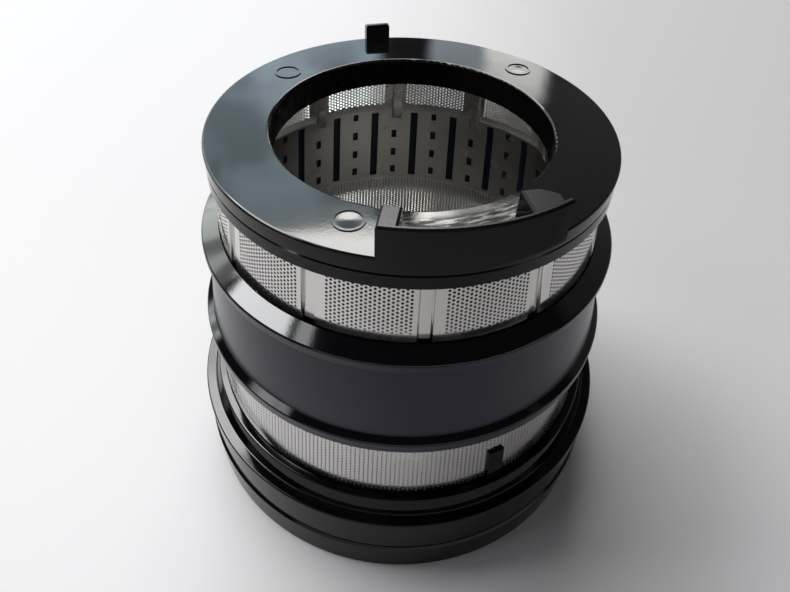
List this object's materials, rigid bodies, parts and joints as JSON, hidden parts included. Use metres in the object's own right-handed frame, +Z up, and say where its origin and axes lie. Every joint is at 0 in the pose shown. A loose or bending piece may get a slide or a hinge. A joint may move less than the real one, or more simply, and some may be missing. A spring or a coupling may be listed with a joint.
{
  "type": "juicer mesh screen",
  "caption": "Conical juicer strainer: a perforated steel sheet held by black moulded rings, with a flanged outlet, a locking lug and a stepped base ring.",
  "frame": {"origin": "centre of the circle on which the base ring stands", "axes": "+Z up along the cone's axis, from the wide base ring to the narrow flange; -Y towards the middle of the locking lug"},
  "size_m": [0.1106, 0.1106, 0.0996],
  "materials": {
    "black_gloss": "polished black moulding",
    "black_satin": "satin black moulding",
    "steel_sheet": "satin stainless sheet"
  },
  "bodies": {
    "root": {"top_flange": "black_gloss", "top_collar": "black_gloss", "screen": "steel_sheet", "middle_collar": "black_satin", "base_ring": "black_gloss"}
  },
  "joints": []
}
